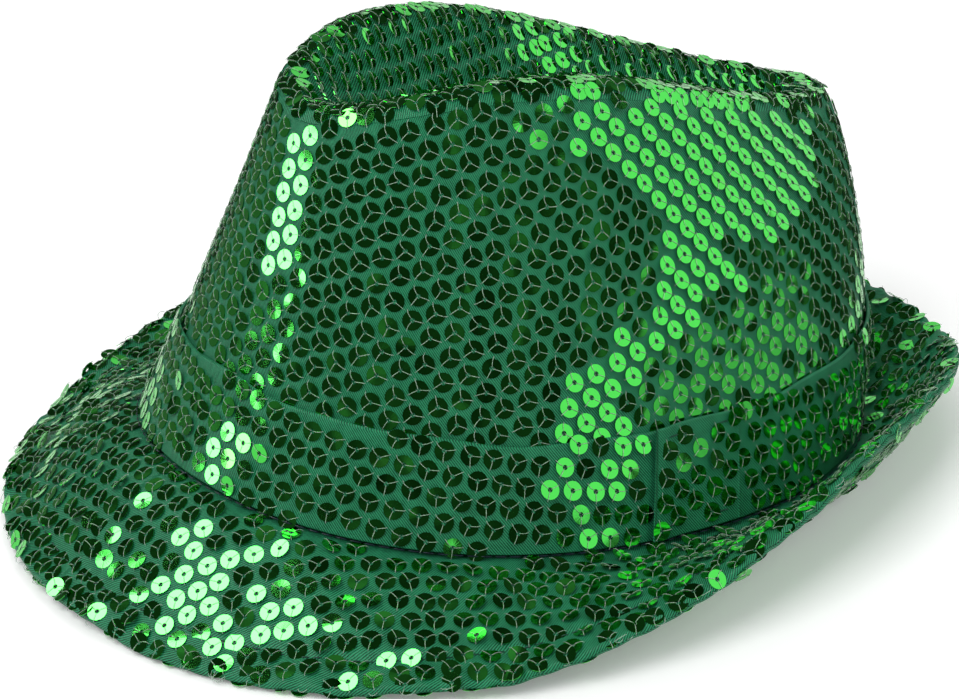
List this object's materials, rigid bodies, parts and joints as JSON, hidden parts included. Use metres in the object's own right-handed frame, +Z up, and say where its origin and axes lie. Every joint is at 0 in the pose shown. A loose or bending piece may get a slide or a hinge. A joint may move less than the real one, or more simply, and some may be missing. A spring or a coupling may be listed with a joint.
{
  "type": "sequin trilby hat",
  "caption": "Green sequin party trilby: dented teardrop crown, folded band with flat keeper tab, brim snapped down in front and turned up behind, lined and with a sweatband.",
  "frame": {"origin": "on the surface that the hat lies on, below the middle of its overall box", "axes": "+Z up off the surface, -Y towards the front of the hat, +X towards the wearer's left"},
  "size_m": [0.2434, 0.281, 0.1278],
  "materials": {
    "sequin_cloth": "satin base cloth sewn all over with flat metallic green sequins",
    "hidden_stiffener": "matt bonded interlining",
    "lining_cloth": "thin dark plain lining",
    "sweatband_cloth": "ribbed dark band with a soft sheen",
    "sewing_thread": "dark green sewing thread",
    "sequin_foil": "mirror green metallised film discs with a centre hole"
  },
  "bodies": {
    "root": {"crown_side_cloth": "sequin_cloth", "crown_side_stiffener": "hidden_stiffener", "crown_lining_side": "lining_cloth", "crown_tip_cloth": "sequin_cloth", "crown_tip_stiffener": "hidden_stiffener", "crown_lining_tip": "lining_cloth", "back_seam_tape": "sweatband_cloth", "sweatband": "sweatband_cloth", "sweatband_stitching": "sewing_thread", "hat_band": "sequin_cloth", "band_keeper": "sequin_cloth", "keeper_stitching": "sewing_thread", "join_stitching": "sewing_thread", "brim_top_cloth": "sequin_cloth", "brim_stiffener": "hidden_stiffener", "brim_edge_seam": "sequin_cloth", "brim_under_cloth": "sequin_cloth", "brim_topstitch_upper": "sewing_thread", "brim_topstitch_lower": "sewing_thread"}
  },
  "joints": []
}
